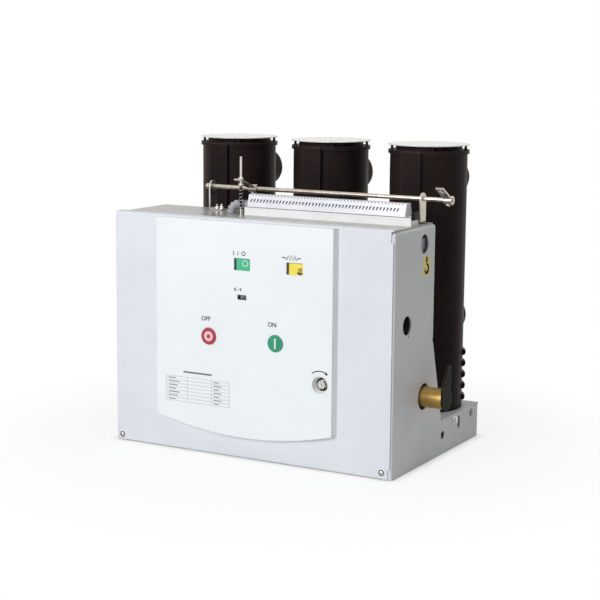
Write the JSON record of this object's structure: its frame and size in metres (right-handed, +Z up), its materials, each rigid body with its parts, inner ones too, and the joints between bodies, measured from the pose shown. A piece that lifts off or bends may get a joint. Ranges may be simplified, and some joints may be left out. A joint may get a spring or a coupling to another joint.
{
  "type": "vacuum circuit breaker",
  "caption": "Fixed-type indoor vacuum circuit breaker: upright insulating poles behind a sheet-steel mechanism box with push buttons, indicators and an interlock shaft.",
  "frame": {"origin": "on the floor under the middle of the base", "axes": "+X to the operator's right along the row of poles, +Y to the back towards the terminals, +Z up"},
  "size_m": [0.636, 0.4405, 0.572],
  "materials": {
    "grey_paint": "light grey powder coat on folded sheet steel, fine orange peel",
    "top_plate_paint": "grey semi-gloss paint",
    "fascia_white": "white moulded panel, satin",
    "indicator_green": "green printed flag behind a clear window",
    "indicator_yellow": "yellow printed flag behind a clear window",
    "counter_black": "black counter drum behind a window",
    "button_red": "red moulded button",
    "button_green": "green moulded button",
    "socket_white": "white moulded funnel",
    "yellow_zinc": "yellow passivated zinc on turned steel",
    "lever_black": "dark olive black oxide",
    "bearing_steel": "turned steel",
    "pole_epoxy": "brown-black satin cast epoxy",
    "cap_grey": "grey moulded cap disc",
    "terminal_copper": "tinned and bare copper, turned face",
    "bright_zinc": "bright zinc plate",
    "strip_white": "white moulded rail",
    "strip_cover_clear": "clear moulded cover",
    "sleeve_grey": "grey corrugated wiring sleeve"
  },
  "bodies": {
    "frame": {"left_side_plate": "grey_paint", "right_side_plate": "grey_paint", "top_plate": "top_plate_paint", "rear_plate": "grey_paint", "bottom_plate": "grey_paint", "pole_deck": "grey_paint", "base_rear_rail": "grey_paint", "front_cover": "grey_paint", "fascia_panel": "fascia_white", "position_indicator": "indicator_green", "charge_indicator": "indicator_yellow", "operation_counter": "counter_black", "charging_socket": "socket_white", "shaft_bearing_left": "bearing_steel", "shaft_bearing_right": "bearing_steel", "pole_left": "pole_epoxy", "pole_middle": "pole_epoxy", "pole_right": "pole_epoxy", "pole_cap_left": "cap_grey", "pole_cap_middle": "cap_grey", "pole_cap_right": "cap_grey", "upper_terminal_left": "terminal_copper", "upper_terminal_middle": "terminal_copper", "upper_terminal_right": "terminal_copper", "lower_terminal_left": "terminal_copper", "lower_terminal_middle": "terminal_copper", "lower_terminal_right": "terminal_copper", "interlock_bracket_left": "bright_zinc", "interlock_bracket_right": "bright_zinc", "push_rod_spring": "bright_zinc", "terminal_base": "strip_white", "terminal_cover": "strip_cover_clear", "wiring_sleeve": "sleeve_grey"},
    "main_shaft": {"main_shaft": "yellow_zinc", "shaft_lever": "lever_black"},
    "off_button": {"off_button": "button_red"},
    "on_button": {"on_button": "button_green"},
    "charging_shaft": {"charging_shaft": "bright_zinc"},
    "interlock_shaft": {"interlock_rod": "bright_zinc", "interlock_lever": "bright_zinc", "interlock_paddle": "bright_zinc"},
    "push_rod": {"push_rod": "bright_zinc"}
  },
  "joints": [
    {"name": "main_shaft_turn", "type": "hinge", "parent": "frame", "child": "main_shaft", "pos_m": [0, -0.063, 0.127], "axis": [1, 0, 0], "range_deg": [0, 50]},
    {"name": "off_button_press", "type": "slide", "parent": "frame", "child": "off_button", "axis": [0, 1, 0], "range_m": [0, 0.005], "stiffness_N_per_m": 600, "springref_m": -0.002},
    {"name": "on_button_press", "type": "slide", "parent": "frame", "child": "on_button", "axis": [0, 1, 0], "range_m": [0, 0.005], "stiffness_N_per_m": 600, "springref_m": -0.002},
    {"name": "charging_shaft_turn", "type": "hinge", "parent": "frame", "child": "charging_shaft", "pos_m": [0.157, -0.195, 0.159], "axis": [0, 1, 0], "continuous": true},
    {"name": "interlock_turn", "type": "hinge", "parent": "frame", "child": "interlock_shaft", "pos_m": [0, -0.06, 0.486], "axis": [1, 0, 0], "range_deg": [0, 12], "stiffness_Nm_per_rad": 2, "springref_deg": -8.59},
    {"name": "push_rod_slide", "type": "slide", "parent": "frame", "child": "push_rod", "axis": [0, 0, -1], "range_m": [0, 0.0106], "deforming": ["push_rod_spring"]}
  ],
  "couplings": [
    {"joint": "push_rod_slide", "follows": "interlock_turn", "m_per_rad": 0.05014}
  ]
}
